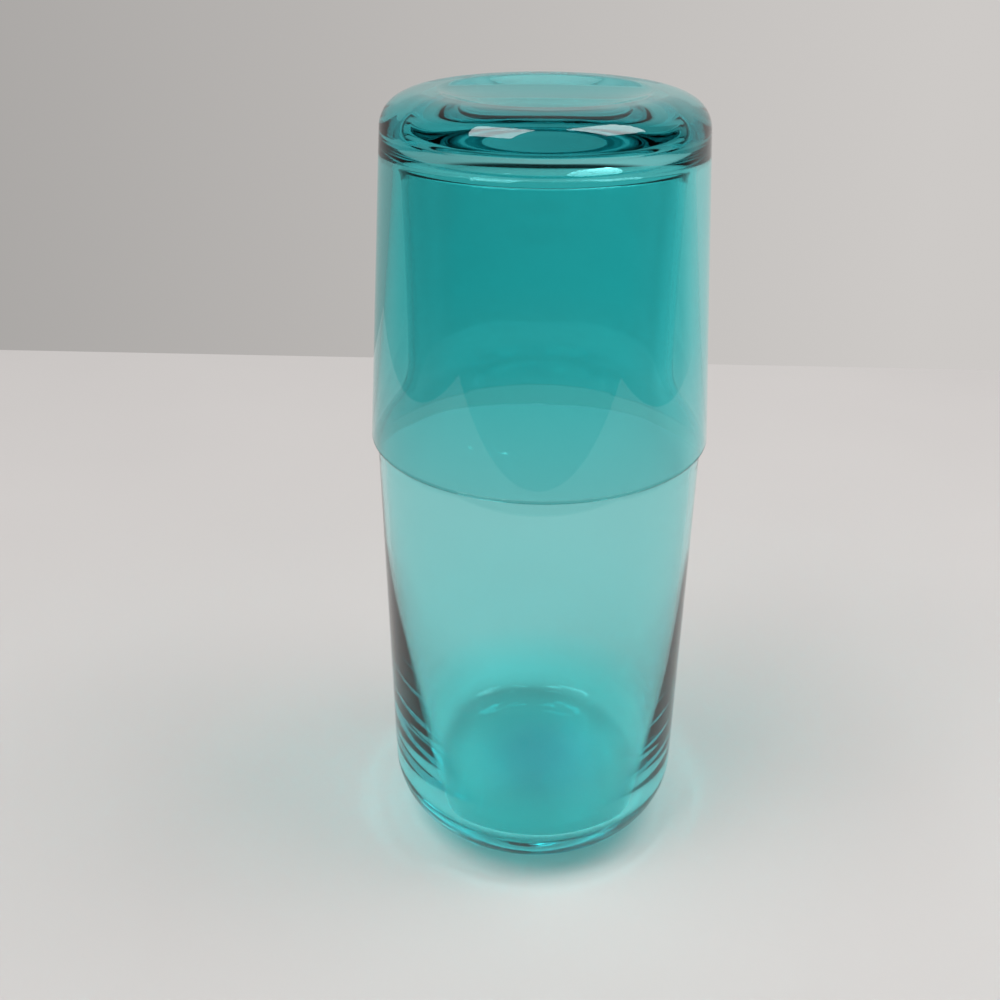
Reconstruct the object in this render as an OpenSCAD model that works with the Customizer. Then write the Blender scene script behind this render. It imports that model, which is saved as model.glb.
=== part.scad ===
// Bedside carafe with its tumbler upside down over the neck, both in tinted glass.
// Both pieces are turned forms: an outline in radius and height, carried round the Z axis.
// The origin is the centre of the carafe's foot on the table, and all lengths are in millimetres.

/* [Carafe body] */
// Largest outside radius of the body, just under the shoulder
body_r = 42.9; // [38:0.1:60]
// Outside radius of the body where the rounded heel begins
heel_top_r = 41.9; // [36:0.1:58]
// Radius of the rounded heel
heel_r = 18.8; // [8:0.1:24]
// Height above the table at which the shoulder starts to turn in
shoulder_z = 118; // [80:1:170]
// Radius of the round of the shoulder, on which the tumbler sits
shoulder_r = 26.4; // [12:0.1:40]

/* [Carafe neck] */
// Outside radius of the neck at its waist
neck_r = 33.5; // [24:0.1:36]
// Radius of the hollow curve between the shoulder and the neck
nape_r = 20; // [8:0.1:40]
// Height of the neck from its waist to the mouth
neck_h = 49; // [20:1:80]
// How much wider the mouth is than the waist, on the radius
mouth_flare = 0.9; // [0.2:0.1:4]

/* [Carafe glass] */
// Wall of the neck, the shoulder and the upper body
wall = 1.6; // [1:0.1:3]
// How far below the shoulder's start the wall begins to thicken
swell_drop = 23; // [5:1:40]
// Radius of the long curve by which the wall thickens towards the floor
swell_r = 650; // [500:10:1200]
// Thickness of the floor at its edge
floor_t = 10.5; // [5:0.1:16]
// Rise of the floor from its edge to the middle
floor_rise = 1.2; // [0.4:0.1:4]
// Radius between the floor and the wall, inside
floor_fillet = 6; // [2:0.1:12]
// Width of the flat ring that stands on the table
foot_w = 4; // [2:0.1:8]
// Depth of the hollow under the foot
foot_hollow = 1.6; // [0.4:0.1:4]

/* [Tumbler] */
// Wall of the tumbler at its round lip
tumbler_wall = 2; // [1.2:0.1:3]
// Thickness of the side where it runs into the heavy base, on the radius
base_wall = 2.7; // [1.5:0.1:6]
// Thickness of the heavy base at the edge of its inside
base_t = 9; // [5:0.1:14]
// How far the middle of the base is pushed in, seen from inside
base_push = 5.4; // [0.5:0.1:8]
// Outside radius of the corner next to the side
corner_r = 7.7; // [5:0.1:10]
// Radius of the wider curve that carries the corner over to the foot ring
crown_r = 13.7; // [10:0.1:16]
// Slope of the outside where those two curves meet, in degrees
crown_a = 60.8; // [50:0.1:75]
// Inside radius between the side and the base
base_fillet = 9.3; // [3:0.1:12]
// Width of the level ring inside, between that radius and the pushed-in middle
inside_ring_w = 5.9; // [1:0.1:12]
// Width of the flat foot ring
ring_w = 2.6; // [1:0.1:6]
// Radius of the soft edge between the foot ring and the dish
dish_edge_r = 5; // [1:0.1:10]
// Depth of the dished middle of the foot
dish_depth = 5; // [1:0.1:7]

/* [Fit of the tumbler on the carafe] */
// Gap between the tumbler's lip and the shoulder that carries it
seat_gap = 0.3; // [0.1:0.05:1]
// How far the lip's inside is smaller than the body, so that the shoulder carries it
seat_bite = 0.4; // [0.2:0.1:1.5]
// Gap between the carafe's mouth and the inside of the tumbler, on the radius
mouth_gap = 1.6; // [1:0.1:4]
// Height left free between the carafe's mouth and the pushed-in middle of the base
headroom = 0.6; // [0.3:0.1:10]

/* [Hidden] */
// Largest distance between an arc and the chords that draw it
chord_gap = 0.01;
// Steps in each gentle rise or dip near the axis
rise_steps = 12;
$fn = 128;

// Points of an arc from angle a0 to a1 about centre c
function arc(c, r, a0, a1) =
    let (steps = max(2, ceil(abs(a1 - a0) / (2 * acos(1 - chord_gap / r)))))
    [for (i = [0 : steps]) let (a = a0 + (a1 - a0) * i / steps) c + r * [cos(a), sin(a)]];
// The same arc without its first point, where it carries on from the one before
function arc_on(c, r, a0, a1) =
    let (points = arc(c, r, a0, a1))
    [for (i = [1 : len(points) - 1]) points[i]];
// Smooth rise from the edge at radius r and height z to z + rise on the axis, level at both ends
function rise_in(r, z, rise) =
    [for (i = [1 : rise_steps]) let (s = i / rise_steps) [r * (1 - s), z + rise * (1 - cos(180 * s)) / 2]];
function reversed(points) = [for (i = [len(points) - 1 : -1 : 0]) points[i]];
// Angle of the normal of a line that touches two circles, d being the step between their centres
// and drop the distance by which it is to fall along that normal
function tangent_angle(d, drop) = atan2(d[1], d[0]) - acos(drop / norm(d));

// Carafe, outside
heel_c = [heel_top_r - heel_r, heel_r];
shoulder_c = [body_r - shoulder_r, shoulder_z];
body_a = tangent_angle(shoulder_c - heel_c, heel_r - shoulder_r);
shoulder_a = acos(1 - (body_r - neck_r) / (shoulder_r + nape_r));
waist_z = shoulder_z + (shoulder_r + nape_r) * sin(shoulder_a);
nape_c = [neck_r + nape_r, waist_z];
flare_r = (neck_h * neck_h + mouth_flare * mouth_flare) / (2 * mouth_flare);
flare_c = [neck_r + flare_r, waist_z];
lip_r = wall / 2;
flare_a = asin((neck_h - lip_r) / (flare_r + lip_r));
lip_c = flare_c + (flare_r + lip_r) * [-cos(flare_a), sin(flare_a)];
mouth_z = lip_c[1] + lip_r;
mouth_r = lip_c[0] + lip_r;
hollow_r = heel_c[0] - foot_w;

// Carafe, inside
body_n = [cos(body_a), sin(body_a)];
body_offset = heel_c * body_n + heel_r - wall;
swell_z = shoulder_z - swell_drop;
swell_start = [(body_offset - swell_z * body_n[1]) / body_n[0], swell_z];
swell_c = swell_start - swell_r * body_n;
swell_a = asin((floor_t + floor_fillet - swell_c[1]) / (swell_r - floor_fillet));
floor_c = [swell_c[0] + (swell_r - floor_fillet) * cos(swell_a), floor_t + floor_fillet];

// Tumbler, as it hangs upside down over the neck
bead_r = tumbler_wall / 2;
bead_x = body_r - seat_bite + bead_r;
seat_reach = shoulder_r + bead_r + seat_gap;
bead_c = [bead_x, shoulder_z + sqrt(seat_reach * seat_reach - (bead_x - shoulder_c[0]) * (bead_x - shoulder_c[0]))];
inside_top_z = mouth_z + headroom + base_push;
top_z = inside_top_z + base_t;
inside_r = mouth_r + mouth_gap;
// Radius at which the outside of the straight side, carried on, would reach the foot
base_r = inside_r + base_wall;
base_fillet_c = [inside_r - base_fillet, inside_top_z - base_fillet];
push_r = base_fillet_c[0] - inside_ring_w;
inside_a = tangent_angle(base_fillet_c - bead_c, -base_fillet - bead_r);
side_a = tangent_angle([base_r, top_z] - bead_c, bead_r);
side_n = [cos(side_a), sin(side_a)];
crown_step = (crown_r - corner_r) * [cos(crown_a), sin(crown_a)];
corner_z = top_z - crown_r + crown_step[1];
corner_c = [(bead_c * side_n + bead_r - corner_r - corner_z * side_n[1]) / side_n[0], corner_z];
crown_c = corner_c - crown_step;
dish_edge_c = [crown_c[0] - ring_w, top_z - dish_edge_r];
dish_reach = (dish_edge_c[0] * dish_edge_c[0] + dish_depth * dish_depth) / (2 * dish_depth);
dish_curve_r = dish_reach - dish_edge_r;
dish_c = [0, top_z - dish_depth + dish_curve_r];
dish_a = asin(dish_edge_c[0] / dish_reach);

function carafe_outside() = concat(
    reversed(rise_in(hollow_r, 0, foot_hollow)),
    [[hollow_r, 0]],
    arc(heel_c, heel_r, -90, body_a),
    arc(shoulder_c, shoulder_r, body_a, shoulder_a),
    arc_on(nape_c, nape_r, 180 + shoulder_a, 180),
    arc_on(flare_c, flare_r, 180, 180 - flare_a),
    arc_on(lip_c, lip_r, -flare_a, 180 - flare_a));

function carafe_inside() = concat(
    arc_on(flare_c, flare_r + wall, 180 - flare_a, 180),
    arc_on(nape_c, nape_r + wall, 180, 180 + shoulder_a),
    arc_on(shoulder_c, shoulder_r - wall, shoulder_a, body_a),
    arc(swell_c, swell_r, body_a, swell_a),
    arc_on(floor_c, floor_fillet, swell_a, -90),
    rise_in(floor_c[0], floor_t, floor_rise));

function tumbler_outline() = concat(
    arc(dish_c, dish_curve_r, -90, -90 + dish_a),
    arc_on(dish_edge_c, dish_edge_r, 90 + dish_a, 90),
    arc(crown_c, crown_r, 90, crown_a),
    arc_on(corner_c, corner_r, crown_a, side_a),
    arc(bead_c, bead_r, side_a, inside_a - 180),
    arc(base_fillet_c, base_fillet, inside_a, 90),
    [[push_r, inside_top_z]],
    rise_in(push_r, inside_top_z, -base_push));

module carafe() {
    color([0.42, 0.80, 0.80, 0.6])
    rotate_extrude()
    polygon(concat(carafe_outside(), carafe_inside()));
}

module tumbler() {
    color([0.25, 0.68, 0.70, 0.6])
    rotate_extrude()
    polygon(tumbler_outline());
}

carafe();
tumbler();
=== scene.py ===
import math
import bpy
import numpy as np
from mathutils import Matrix, Vector


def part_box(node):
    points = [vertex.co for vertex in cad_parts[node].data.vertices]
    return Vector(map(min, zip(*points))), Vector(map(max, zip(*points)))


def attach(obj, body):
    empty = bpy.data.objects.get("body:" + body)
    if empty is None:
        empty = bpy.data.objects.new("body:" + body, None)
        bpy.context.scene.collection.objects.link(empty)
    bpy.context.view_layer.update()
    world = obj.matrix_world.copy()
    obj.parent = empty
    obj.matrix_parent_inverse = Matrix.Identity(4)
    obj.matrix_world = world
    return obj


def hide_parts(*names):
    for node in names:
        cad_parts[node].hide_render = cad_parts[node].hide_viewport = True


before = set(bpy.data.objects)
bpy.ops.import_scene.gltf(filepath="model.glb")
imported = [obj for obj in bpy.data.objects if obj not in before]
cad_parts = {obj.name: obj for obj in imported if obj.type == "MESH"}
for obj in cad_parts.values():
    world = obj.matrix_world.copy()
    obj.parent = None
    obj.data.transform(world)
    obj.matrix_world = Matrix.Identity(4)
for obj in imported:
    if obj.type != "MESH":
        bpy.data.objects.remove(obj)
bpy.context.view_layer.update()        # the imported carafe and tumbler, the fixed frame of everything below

print("frame loaded:", ", ".join(sorted(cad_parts)))

mm = 0.001               # sizes are written in millimetres and become metres here
turnSteps = 240          # columns round each turned piece
samePoint = 1e-6         # profile points nearer than this count as one


# Points on an arc in the (radius, height) plane: the centre plus the radius times (cos, sin) of an
# angle that runs evenly between two ends, given in degrees.
def arc(centre, radius, fromDeg, toDeg, count):
    angle = np.radians(np.linspace(fromDeg, toDeg, count))
    return np.column_stack((centre[0] + radius * np.cos(angle), centre[1] + radius * np.sin(angle)))


# A low hill on the axis: from radius r the height climbs by half a cosine wave to z plus rise. The wave
# runs with the share of r raised to a power, so a power over 1 widens the hill's top.
def hill(r, z, rise, count, power=1):
    share = np.linspace(1, 0, count)
    return np.column_stack((r * share, z + rise * (1 + np.cos(np.pi * share ** power)) / 2))


# Angle of the normal of the line that touches two circles on the same side; offset goes from the
# first centre to the second, and drop is the first radius less the second.
def tangentDeg(offset, drop):
    return math.degrees(math.atan2(offset[1], offset[0]) - math.acos(drop / math.hypot(*offset)))


# Joins stretches of a profile end to end and leaves out points that repeat the one before.
def profileFrom(*stretches):
    points = np.vstack(stretches)
    step = np.hypot(*np.diff(points, axis=0).T)
    return points[np.concatenate(([True], step > samePoint))]


# A turned piece. The profile (r, z) goes round the Z axis on a grid of rows by columns:
# x = r cos t + shift, y = r sin t, z = z, with r less a slow ripple in t that leans with height.
# The first and last profile points lie on the axis and close the piece as poles.
def turnedPiece(name, profile, shift, ripple):
    r, z = profile[1:-1].T
    t = np.arange(turnSteps) * 2 * np.pi / turnSteps
    fade = np.interp(z, ripple["heights"], ripple["depths"])[:, None]
    lean = z[:, None] * ripple["lean"]
    wave = sum(np.sin(count * t + phase + lean) for count, phase in ripple["waves"])
    radius = r[:, None] - fade * (1 + wave / len(ripple["waves"])) / 2
    grid = np.stack((radius * np.cos(t) + shift[1:-1, None], radius * np.sin(t),
                     np.broadcast_to(z[:, None], radius.shape)), axis=-1)
    poles = [(shift[end], 0, profile[end, 1]) for end in (0, -1)]
    points = np.vstack((grid.reshape(-1, 3), poles)) * mm

    rows = len(r)
    column = np.arange(turnSteps)
    after = (column + 1) % turnSteps
    base = np.arange(rows - 1)[:, None] * turnSteps
    quads = np.stack((base + column, base + after,
                      base + turnSteps + after, base + turnSteps + column), axis=-1).reshape(-1, 4)
    last = (rows - 1) * turnSteps
    startPole = np.full(turnSteps, rows * turnSteps)
    startFan = np.column_stack((startPole, after, column))
    endFan = np.column_stack((startPole + 1, last + column, last + after))
    corners = np.concatenate((quads.ravel(), startFan.ravel(), endFan.ravel()))
    sides = np.concatenate((np.full(len(quads), 4), np.full(2 * turnSteps, 3)))

    mesh = bpy.data.meshes.new(name)
    mesh.vertices.add(len(points))
    mesh.vertices.foreach_set("co", points.astype(np.float32).ravel())
    mesh.loops.add(len(corners))
    mesh.loops.foreach_set("vertex_index", corners.astype(np.int32))
    mesh.polygons.add(len(sides))
    mesh.polygons.foreach_set("loop_start", (np.cumsum(sides) - sides).astype(np.int32))
    mesh.update(calc_edges=True)
    mesh.shade_smooth()
    piece = bpy.data.objects.new(name, mesh)
    bpy.context.scene.collection.objects.link(piece)
    print(f"{name}: {rows} rows by {turnSteps} columns")
    return piece


# What both glasses share: the index of refraction, and the streaks drawn along the height.
glassIor = 1.5
streaks = {
    "scale": (60, 60, 5),       # waves per metre, few of them upwards
    "detail": 2,
    "share": 0.1,               # of the way from the low tint to the high one
}


# Glass cased in a thin coloured layer, so each wall tints by about the same share however thick it is,
# over a body that swallows a little light along the way. The layer changes with height, drifts in faint
# streaks, and pools where the colour gathered in the base.
def casedGlass(name, look):
    material = bpy.data.materials.new(name)
    material.use_nodes = True
    tree = material.node_tree
    tree.nodes.clear()
    link = tree.links.new
    output = tree.nodes.new("ShaderNodeOutputMaterial")
    shader = tree.nodes.new("ShaderNodeBsdfPrincipled")
    shader.inputs["Transmission Weight"].default_value = 1
    shader.inputs["IOR"].default_value = glassIor
    shader.inputs["Roughness"].default_value = look["roughness"]
    link(shader.outputs["BSDF"], output.inputs["Surface"])
    bulk = tree.nodes.new("ShaderNodeVolumeAbsorption")
    bulk.inputs["Color"].default_value = (*look["bulkColour"], 1)
    bulk.inputs["Density"].default_value = look["bulkDensity"]
    link(bulk.outputs["Volume"], output.inputs["Volume"])
    place = tree.nodes.new("ShaderNodeTexCoord")
    height = tree.nodes.new("ShaderNodeSeparateXYZ")
    link(place.outputs["Object"], height.inputs["Vector"])

    # A value that goes from one end to the other while a length runs between two ends in millimetres.
    def ramp(length, run, ends, kind="LINEAR"):
        node = tree.nodes.new("ShaderNodeMapRange")
        node.interpolation_type = kind
        node.inputs["From Min"].default_value, node.inputs["From Max"].default_value = (v * mm for v in run)
        node.inputs["To Min"].default_value, node.inputs["To Max"].default_value = ends
        link(length, node.inputs["Value"])
        return node.outputs["Result"]

    if "roughTop" in look:
        smooth = ramp(height.outputs["Z"], look["roughRun"], (look["roughness"], look["roughTop"]))
        link(smooth, shader.inputs["Roughness"])

    # Tint: from the low one to the high one with height, moved along a little by the streaks.
    stretch = tree.nodes.new("ShaderNodeMapping")
    stretch.inputs["Scale"].default_value = streaks["scale"]
    link(place.outputs["Object"], stretch.inputs["Vector"])
    streak = tree.nodes.new("ShaderNodeTexNoise")
    streak.inputs["Scale"].default_value = 1
    streak.inputs["Detail"].default_value = streaks["detail"]
    link(stretch.outputs["Vector"], streak.inputs["Vector"])
    drift = tree.nodes.new("ShaderNodeMath")
    drift.operation = "MULTIPLY_ADD"
    drift.inputs[1].default_value = streaks["share"]
    link(streak.outputs["Fac"], drift.inputs[0])
    link(ramp(height.outputs["Z"], look["tintRun"], (0, 1)), drift.inputs[2])
    tint = tree.nodes.new("ShaderNodeMix")
    tint.data_type = "RGBA"
    tint.inputs["A"].default_value = (*look["tintLow"], 1)
    tint.inputs["B"].default_value = (*look["tintHigh"], 1)
    link(drift.outputs["Value"], tint.inputs["Factor"])

    # Pool: full within the inner radius of its centre and gone at the outer one.
    centred = tree.nodes.new("ShaderNodeMapping")
    centred.inputs["Location"].default_value = [-v * mm for v in look["poolCentre"]]
    link(place.outputs["Object"], centred.inputs["Vector"])
    reach = tree.nodes.new("ShaderNodeVectorMath")
    reach.operation = "LENGTH"
    link(centred.outputs["Vector"], reach.inputs[0])
    pool = ramp(reach.outputs["Value"], look["poolRadii"], (1, 0), "SMOOTHSTEP")
    pooled = tree.nodes.new("ShaderNodeMix")
    pooled.data_type = "RGBA"
    pooled.inputs["B"].default_value = (*look["poolTint"], 1)
    link(pool, pooled.inputs["Factor"])
    link(tint.outputs["Result"], pooled.inputs["A"])
    link(pooled.outputs["Result"], shader.inputs["Base Color"])
    return material


# Carafe: heel, body, shoulder, neck and mouth outside; a cavity that leaves a thick floor inside.
carafeLow, carafeHigh = (np.array(corner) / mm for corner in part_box("carafe"))
carafe = {
    "bodyR": carafeHigh[0],     # widest radius, at the shoulder's foot
    "mouthZ": carafeHigh[2],    # top of the lip
    "heelTopR": 41.9,
    "heelR": 18.8,
    "shoulderZ": 118,
    "shoulderR": 26.4,
    "neckR": 33.5,
    "napeR": 20,
    "mouthFlare": 0.9,
    "neckH": 49,
    "wall": 1.6,
    "swellDrop": 23,            # the wall thickens below this far under the shoulder
    "swellR": 650,
    "floorT": 10.5,
    "floorRise": 1.2,
    "floorFillet": 6,
    "footW": 4,
    "footHollow": 1.6,
    "cavityShift": 1.1,         # the blown hollow runs off centre towards the floor
    "cavityTrueZ": 95,          # and is true above this height
    "cavityBend": 1.2,          # power by which it leans more towards the floor
    "rows": {"hollow": 16, "heel": 40, "shoulder": 24, "nape": 16, "neck": 16, "lip": 9,
             "swell": 32, "fillet": 20, "floor": 20},
}
carafeRipple = {
    "heights": [0, 22, 60, 110, 122, 195],
    "depths": [0, 0, 0.05, 0.05, 0, 0],
    "waves": [(5, 0.4), (8, 1.9), (13, 4.1)],
    "lean": 0.006,
}
carafeLook = {
    "roughness": 0.03,          # of the lower body, which was drawn out and is faintly wavy
    "roughTop": 0.0,            # of the neck
    "roughRun": (88, 116),      # heights between which the one turns into the other, as in tintRun
    "bulkColour": (0.0, 0.88, 0.90),
    "bulkDensity": 36,          # per metre
    "tintLow": (0.25, 1.0, 1.0),
    "tintHigh": (0.58, 0.925, 0.927),
    "tintRun": (14, 34),        # the layer is deepest round the floor
    "poolCentre": (3, 2, 8),
    "poolRadii": (6, 27),
    "poolTint": (0.0, 0.86, 0.92),
}


# The carafe's profile: arcs that touch one another, from the hollow under the foot up the outside, over
# the lip and down the inside to the middle of the floor, with the sideways shift of each point.
def carafeProfile(c):
    heelC = (c["heelTopR"] - c["heelR"], c["heelR"])
    shoulderC = (c["bodyR"] - c["shoulderR"], c["shoulderZ"])
    between = (shoulderC[0] - heelC[0], shoulderC[1] - heelC[1])
    bodyA = tangentDeg(between, c["heelR"] - c["shoulderR"])
    bend = c["shoulderR"] + c["napeR"]
    shoulderA = math.degrees(math.acos(1 - (c["bodyR"] - c["neckR"]) / bend))
    waistZ = c["shoulderZ"] + bend * math.sin(math.radians(shoulderA))
    napeC = (c["neckR"] + c["napeR"], waistZ)
    flareR = (c["neckH"] ** 2 + c["mouthFlare"] ** 2) / (2 * c["mouthFlare"])
    flareC = (c["neckR"] + flareR, waistZ)
    lipR = c["wall"] / 2
    lipZ = c["mouthZ"] - lipR
    flareA = math.degrees(math.asin((lipZ - waistZ) / (flareR + lipR)))
    lipC = (flareC[0] - (flareR + lipR) * math.cos(math.radians(flareA)), lipZ)
    hollowR = heelC[0] - c["footW"]

    bodyN = np.array((math.cos(math.radians(bodyA)), math.sin(math.radians(bodyA))))
    reach = np.dot(heelC, bodyN) + c["heelR"] - c["wall"]
    swellZ = c["shoulderZ"] - c["swellDrop"]
    swellC = np.array(((reach - swellZ * bodyN[1]) / bodyN[0], swellZ)) - c["swellR"] * bodyN
    filletZ = c["floorT"] + c["floorFillet"]
    swellIn = c["swellR"] - c["floorFillet"]
    swellA = math.degrees(math.asin((filletZ - swellC[1]) / swellIn))
    floorC = (swellC[0] + swellIn * math.cos(math.radians(swellA)), filletZ)

    rows = c["rows"]
    outside = profileFrom(
        hill(hollowR, 0, c["footHollow"], rows["hollow"])[::-1],
        arc(heelC, c["heelR"], -90, bodyA, rows["heel"]),
        arc(shoulderC, c["shoulderR"], bodyA, shoulderA, rows["shoulder"]),
        arc(napeC, c["napeR"], 180 + shoulderA, 180, rows["nape"]),
        arc(flareC, flareR, 180, 180 - flareA, rows["neck"]),
        arc(lipC, lipR, -flareA, 90 - flareA, rows["lip"]))
    inside = profileFrom(
        arc(lipC, lipR, 90 - flareA, 180 - flareA, rows["lip"]),
        arc(flareC, flareR + c["wall"], 180 - flareA, 180, rows["neck"]),
        arc(napeC, c["napeR"] + c["wall"], 180, 180 + shoulderA, rows["nape"]),
        arc(shoulderC, c["shoulderR"] - c["wall"], shoulderA, bodyA, rows["shoulder"]),
        arc(swellC, c["swellR"], bodyA, swellA, rows["swell"]),
        arc(floorC, c["floorFillet"], swellA, -90, rows["fillet"]),
        hill(floorC[0], c["floorT"], c["floorRise"], rows["floor"]))
    profile = profileFrom(outside, inside)
    # The cavity's shift grows downwards from nothing at cavityTrueZ; the outside stays true.
    deep = np.clip(1 - profile[:, 1] / c["cavityTrueZ"], 0, 1) ** c["cavityBend"]
    isInside = np.arange(len(profile)) >= len(outside)
    return profile, np.where(isInside, c["cavityShift"] * deep, 0)


carafePiece = turnedPiece("carafe_glass", *carafeProfile(carafe), carafeRipple)
carafePiece.data.materials.append(casedGlass("carafeGlass", carafeLook))
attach(carafePiece, "carafe")
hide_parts("carafe")

# Tumbler, upside down over the neck: a thick base on top, a rounded corner, a thin side and lip.
tumblerLow, tumblerHigh = (np.array(corner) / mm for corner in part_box("tumbler"))
tumbler = {
    "rimR": tumblerHigh[0],     # outside of the lip, the widest place
    "rimZ": tumblerLow[2],      # bottom of the lip
    "topZ": tumblerHigh[2],
    "wall": 2,                  # at the lip
    "baseR": 38.67,             # where the outside of the side would meet the top
    "baseT": 9.36,              # at the edge of the inside floor
    "basePush": 2.57,           # the middle of the base is pushed in by this much
    "pushPower": 1.19,          # widens the top of that push
    "insideRingW": 0.15,        # level ring inside, round the pushed-in middle
    "cornerR": 7.7,             # corner next to the side
    "crownR": 13.7,             # wider curve that carries it over to the ring
    "crownA": 60.8,             # slope of the normal where the two meet
    "baseFillet": 7.2,
    "mouthR": 35.97,            # inside radius at the base, clear of the carafe's mouth
    "ringW": 2.6,               # flat ring that it stands on
    "dishEdgeR": 5,             # soft edge between ring and dish
    "dishDepth": 5,
    "rows": {"push": 40, "fillet": 24, "bead": 20, "corner": 24, "crown": 16, "edge": 12, "dish": 28},
}
tumblerRipple = {
    "heights": [123, 132, 150, 185, 195, 211],
    "depths": [0, 0, 0.06, 0.06, 0, 0],
    "waves": [(6, 2.2), (9, 0.7), (17, 3.3)],
    "lean": 0.004,
}
tumblerLook = {
    "roughness": 0.0,
    "bulkColour": (0.0, 0.69, 0.72),
    "bulkDensity": 30,
    "tintLow": (0.66, 0.96, 0.97),
    "tintHigh": (0.35, 0.965, 0.98),
    "tintRun": (122, 156),      # the layer is thinnest at the lip
    "poolCentre": (0, 0, 203),
    "poolRadii": (22, 46),
    "poolTint": (0.60, 0.98, 0.98),
}


# The tumbler's profile: arcs that touch one another, from the middle of the inside down to the lip and
# up the outside to the middle of the dish.
def tumblerProfile(g):
    beadR = g["wall"] / 2
    beadC = (g["rimR"] - beadR, g["rimZ"] + beadR)
    insideZ = g["topZ"] - g["baseT"]
    filletC = (g["mouthR"] - g["baseFillet"], insideZ - g["baseFillet"])
    across = (filletC[0] - beadC[0], filletC[1] - beadC[1])
    insideA = tangentDeg(across, -g["baseFillet"] - beadR)
    sideA = tangentDeg((g["baseR"] - beadC[0], g["topZ"] - beadC[1]), beadR)
    sideN = np.array((math.cos(math.radians(sideA)), math.sin(math.radians(sideA))))
    crownStep = g["crownR"] - g["cornerR"]
    crownN = np.array((math.cos(math.radians(g["crownA"])), math.sin(math.radians(g["crownA"]))))
    cornerZ = g["topZ"] - g["crownR"] + crownStep * crownN[1]
    cornerX = (np.dot(beadC, sideN) + beadR - g["cornerR"] - cornerZ * sideN[1]) / sideN[0]
    cornerC = np.array((cornerX, cornerZ))
    crownC = cornerC - crownStep * crownN
    # The soft edge touches the ring, and the dish touches it at the angle dishA.
    edgeC = (crownC[0] - g["ringW"], g["topZ"] - g["dishEdgeR"])
    dishReach = (edgeC[0] ** 2 + g["dishDepth"] ** 2) / (2 * g["dishDepth"])
    dishCurve = dishReach - g["dishEdgeR"]
    dishC = (0, g["topZ"] - g["dishDepth"] + dishCurve)
    dishA = math.degrees(math.asin(edgeC[0] / dishReach))
    rows = g["rows"]
    return profileFrom(
        hill(filletC[0] - g["insideRingW"], insideZ, -g["basePush"], rows["push"], g["pushPower"])[::-1],
        arc(filletC, g["baseFillet"], 90, insideA, rows["fillet"]),
        arc(beadC, beadR, insideA - 180, sideA, rows["bead"]),
        arc(cornerC, g["cornerR"], sideA, g["crownA"], rows["corner"]),
        arc(crownC, g["crownR"], g["crownA"], 90, rows["crown"]),
        arc(edgeC, g["dishEdgeR"], 90, 90 + dishA, rows["edge"]),
        arc(dishC, dishCurve, -90 + dishA, -90, rows["dish"]))


tumblerShape = tumblerProfile(tumbler)
tumblerPiece = turnedPiece("tumbler_glass", tumblerShape, np.zeros(len(tumblerShape)), tumblerRipple)
tumblerPiece.data.materials.append(casedGlass("tumblerGlass", tumblerLook))
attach(tumblerPiece, "tumbler")
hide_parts("tumbler")

# Stage: a pale matt table top, ending behind the object, with the pale surround beyond it.
table = {
    "back": 374,
    "backTurn": -0.012,         # slope of the back edge seen from above
    "front": -330,
    "halfWidth": 430,
    "drop": 0.15,               # air film under the foot
    "colour": (0.52, 0.50, 0.49),
    "mottle": (0.49, 0.47, 0.461),  # the paint's faint clouds
    "mottleScale": 9,
    "roughness": 0.6,
}


# One level face whose back edge is turned a little, in paint that slow noise mottles.
def tableTop(s):
    wide, level = s["halfWidth"], -s["drop"]
    rise = wide * s["backTurn"]
    corners = np.array([(-wide, s["front"], level), (wide, s["front"], level),
                        (wide, s["back"] + rise, level), (-wide, s["back"] - rise, level)])
    mesh = bpy.data.meshes.new("tableTop")
    mesh.from_pydata((corners * mm).tolist(), [], [(0, 1, 2, 3)])
    material = bpy.data.materials.new("tablePaint")
    material.use_nodes = True
    nodes, link = material.node_tree.nodes, material.node_tree.links.new
    shader = nodes["Principled BSDF"]
    shader.inputs["Roughness"].default_value = s["roughness"]
    place = nodes.new("ShaderNodeTexCoord")
    cloud = nodes.new("ShaderNodeTexNoise")
    cloud.inputs["Scale"].default_value = s["mottleScale"]
    paint = nodes.new("ShaderNodeMix")
    paint.data_type = "RGBA"
    paint.inputs["A"].default_value = (*s["mottle"], 1)
    paint.inputs["B"].default_value = (*s["colour"], 1)
    link(place.outputs["Object"], cloud.inputs["Vector"])
    link(cloud.outputs["Fac"], paint.inputs["Factor"])
    link(paint.outputs["Result"], shader.inputs["Base Color"])
    mesh.materials.append(material)
    top = bpy.data.objects.new("tableTop", mesh)
    bpy.context.scene.collection.objects.link(top)
    return top


tableTop(table)
print("table top made")

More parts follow.
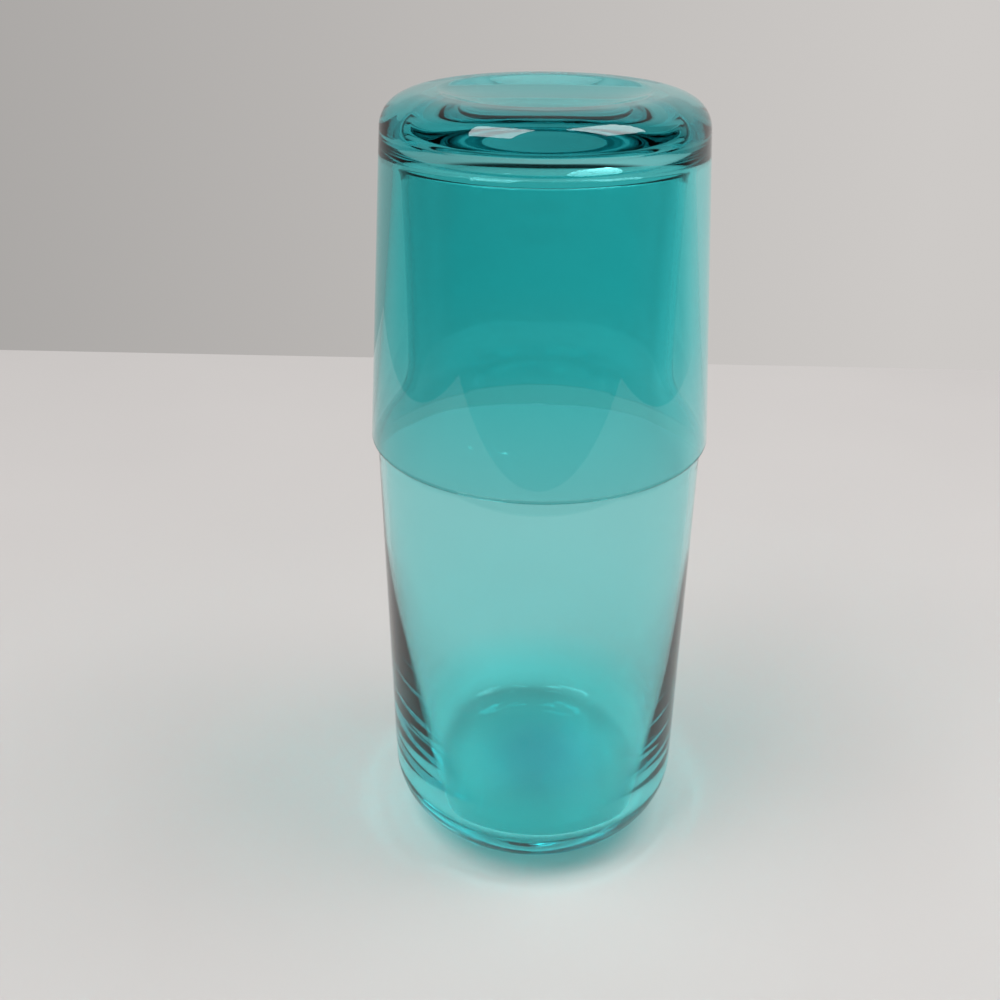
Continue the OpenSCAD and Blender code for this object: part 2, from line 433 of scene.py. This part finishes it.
# Light: two softboxes above, one on each side, and a surround that is pale behind the object.
softboxes = {
    "aim": (0, -28, 203),       # the tumbler's front corner, which mirrors them
    "left": {
        "towards": (-0.38, -0.21, 0.90),
        "distance": 3000,
        "size": (1350, 1800),
        "turn": 29,             # in degrees
        "power": 53.4,
    },
    "right": {
        "towards": (0.468, 0.0, 0.884),
        "distance": 1000,
        "size": (449, 563),
        "turn": -32,
        "power": 5.57,
    },
}
surround = {
    "paleLeft": (0.30, 0.289, 0.28),
    "paleRight": (0.61, 0.588, 0.57),
    "paleRun": (-0.8, 0.3),     # the left colour turns into the right one between these shares of +X
    "flank": (0.08, 0.078, 0.076),
    "dim": (0.012, 0.013, 0.013),
    "backTop": (0.74, 0.88),    # sines of the elevations between which the tall backdrop ends
    "sideTop": (0.08, 0.25),    # the same for the low band at the sides
    "backEdge": (0.2, 0.55),    # the tall part starts between these shares of +Y
    "frontEdge": (-0.6, -0.2),  # and in front of these it is dim down to the floor
    "skyLow": (0.64, 0.63, 0.625),
    "skyHigh": (0.5, 0.49, 0.485),
    "skyTop": (0.55, 0.85),     # the gathered light fades upwards between these sines
    "gatherStep": (0.4, 0.6),   # parts light gathered by a matt surface, depth 1, from the rest, depth 0
}


# A softbox hangs at its distance from the aim, faces it, and is turned about its own axis.
def hangSoftbox(name, boxes):
    box = boxes[name]
    lamp = bpy.data.lights.new(name, "AREA")
    lamp.shape = "RECTANGLE"
    lamp.size, lamp.size_y = (v * mm for v in box["size"])
    lamp.energy = box["power"]
    towards = Vector(box["towards"]).normalized()
    face = towards.to_track_quat("Z", "Y").to_matrix().to_4x4()
    face = face @ Matrix.Rotation(math.radians(box["turn"]), 4, "Z")
    face.translation = (Vector(boxes["aim"]) + towards * box["distance"]) * mm
    holder = bpy.data.objects.new(name, lamp)
    holder.matrix_world = face
    bpy.context.scene.collection.objects.link(holder)


# Surround: a tall pale backdrop behind, a low grey band at the sides, dim above them both and in front.
# Light that a matt surface gathers comes from a plain even sky, also where it has passed through the
# glass, and the camera itself sees the backdrop's colour on all sides.
def paleSurround(s):
    world = bpy.data.worlds.new("surround")
    world.use_nodes = True
    tree = world.node_tree
    link = tree.links.new

    # A share that goes from 0 to 1 while a value runs between two ends.
    def share(value, ends, kind="SMOOTHSTEP"):
        ramp = tree.nodes.new("ShaderNodeMapRange")
        ramp.interpolation_type = kind
        ramp.inputs["From Min"].default_value, ramp.inputs["From Max"].default_value = ends
        link(value, ramp.inputs["Value"])
        return ramp.outputs["Result"]

    # The first colour at factor 0 and the second at factor 1.
    def blend(factor, first, second):
        mix = tree.nodes.new("ShaderNodeMix")
        mix.data_type = "RGBA"
        link(factor, mix.inputs["Factor"])
        for socket, colour in (("A", first), ("B", second)):
            if isinstance(colour, tuple):
                mix.inputs[socket].default_value = (*colour, 1)
            else:
                link(colour, mix.inputs[socket])
        return mix.outputs["Result"]

    direction = tree.nodes.new("ShaderNodeTexCoord")
    parts = tree.nodes.new("ShaderNodeSeparateXYZ")
    link(direction.outputs["Generated"], parts.inputs["Vector"])
    pale = blend(share(parts.outputs["X"], s["paleRun"], "LINEAR"), s["paleLeft"], s["paleRight"])
    tall = blend(share(parts.outputs["Z"], s["backTop"]), pale, s["dim"])
    low = blend(share(parts.outputs["Z"], s["sideTop"]), s["flank"], s["dim"])
    around = blend(share(parts.outputs["Y"], s["backEdge"]), low, tall)
    seen = blend(share(parts.outputs["Y"], s["frontEdge"]), s["dim"], around)
    path = tree.nodes.new("ShaderNodeLightPath")
    gathered = share(path.outputs["Diffuse Depth"], s["gatherStep"])
    sky = blend(share(parts.outputs["Z"], s["skyTop"]), s["skyLow"], s["skyHigh"])
    lit = blend(gathered, seen, sky)
    link(blend(path.outputs["Is Camera Ray"], lit, pale), tree.nodes["Background"].inputs["Color"])
    world.cycles.sampling_method = "NONE"    # the sky is found by the rays themselves
    bpy.context.scene.world = world


hangSoftbox("left", softboxes)
hangSoftbox("right", softboxes)
paleSurround(surround)
print("light set")

# Camera: stands in front and above, at the photographed angle; angles in radians.
viewpoint = {
    "place": (0, -287.5, 252.1),
    "pitch": 0.4828,
    "yaw": -0.0359,
    "roll": 0.0030,
    "lens": 42.2,
    "near": 10,                 # nothing closer than this is drawn
}


# The camera looks along the direction that yaw and pitch give, and rolls about it.
def lookAtObject(v):
    pitch, yaw, roll = v["pitch"], v["yaw"], v["roll"]
    ahead = np.array((math.sin(yaw) * math.cos(pitch), math.cos(yaw) * math.cos(pitch),
                      -math.sin(pitch)))
    level = np.array((math.cos(yaw), -math.sin(yaw), 0))
    upright = np.cross(level, ahead)
    right = math.cos(roll) * level + math.sin(roll) * upright
    up = -math.sin(roll) * level + math.cos(roll) * upright
    camera = bpy.data.objects.new("camera", bpy.data.cameras.new("camera"))
    camera.data.lens = v["lens"]
    camera.data.clip_start = v["near"] * mm
    turn = np.eye(4)
    turn[:3, :3] = np.column_stack((right, up, -ahead))
    turn[:3, 3] = np.array(v["place"]) * mm
    camera.matrix_world = Matrix(turn.tolist())
    bpy.context.scene.collection.objects.link(camera)
    bpy.context.scene.camera = camera


lookAtObject(viewpoint)
print("camera placed")

# Paths of light: long enough for the many surfaces of two glasses, one over the other.
crossings = 32           # surfaces that a path may meet
mirrorings = 12          # of them mirrorings, which the tumbler's thick base repeats
scene = bpy.context.scene
scene.view_settings.view_transform = "Standard"
scene.cycles.max_bounces = crossings
scene.cycles.transmission_bounces = crossings
scene.cycles.glossy_bounces = mirrorings
scene.cycles.blur_glossy = 0             # keeps the light that falls through the glass
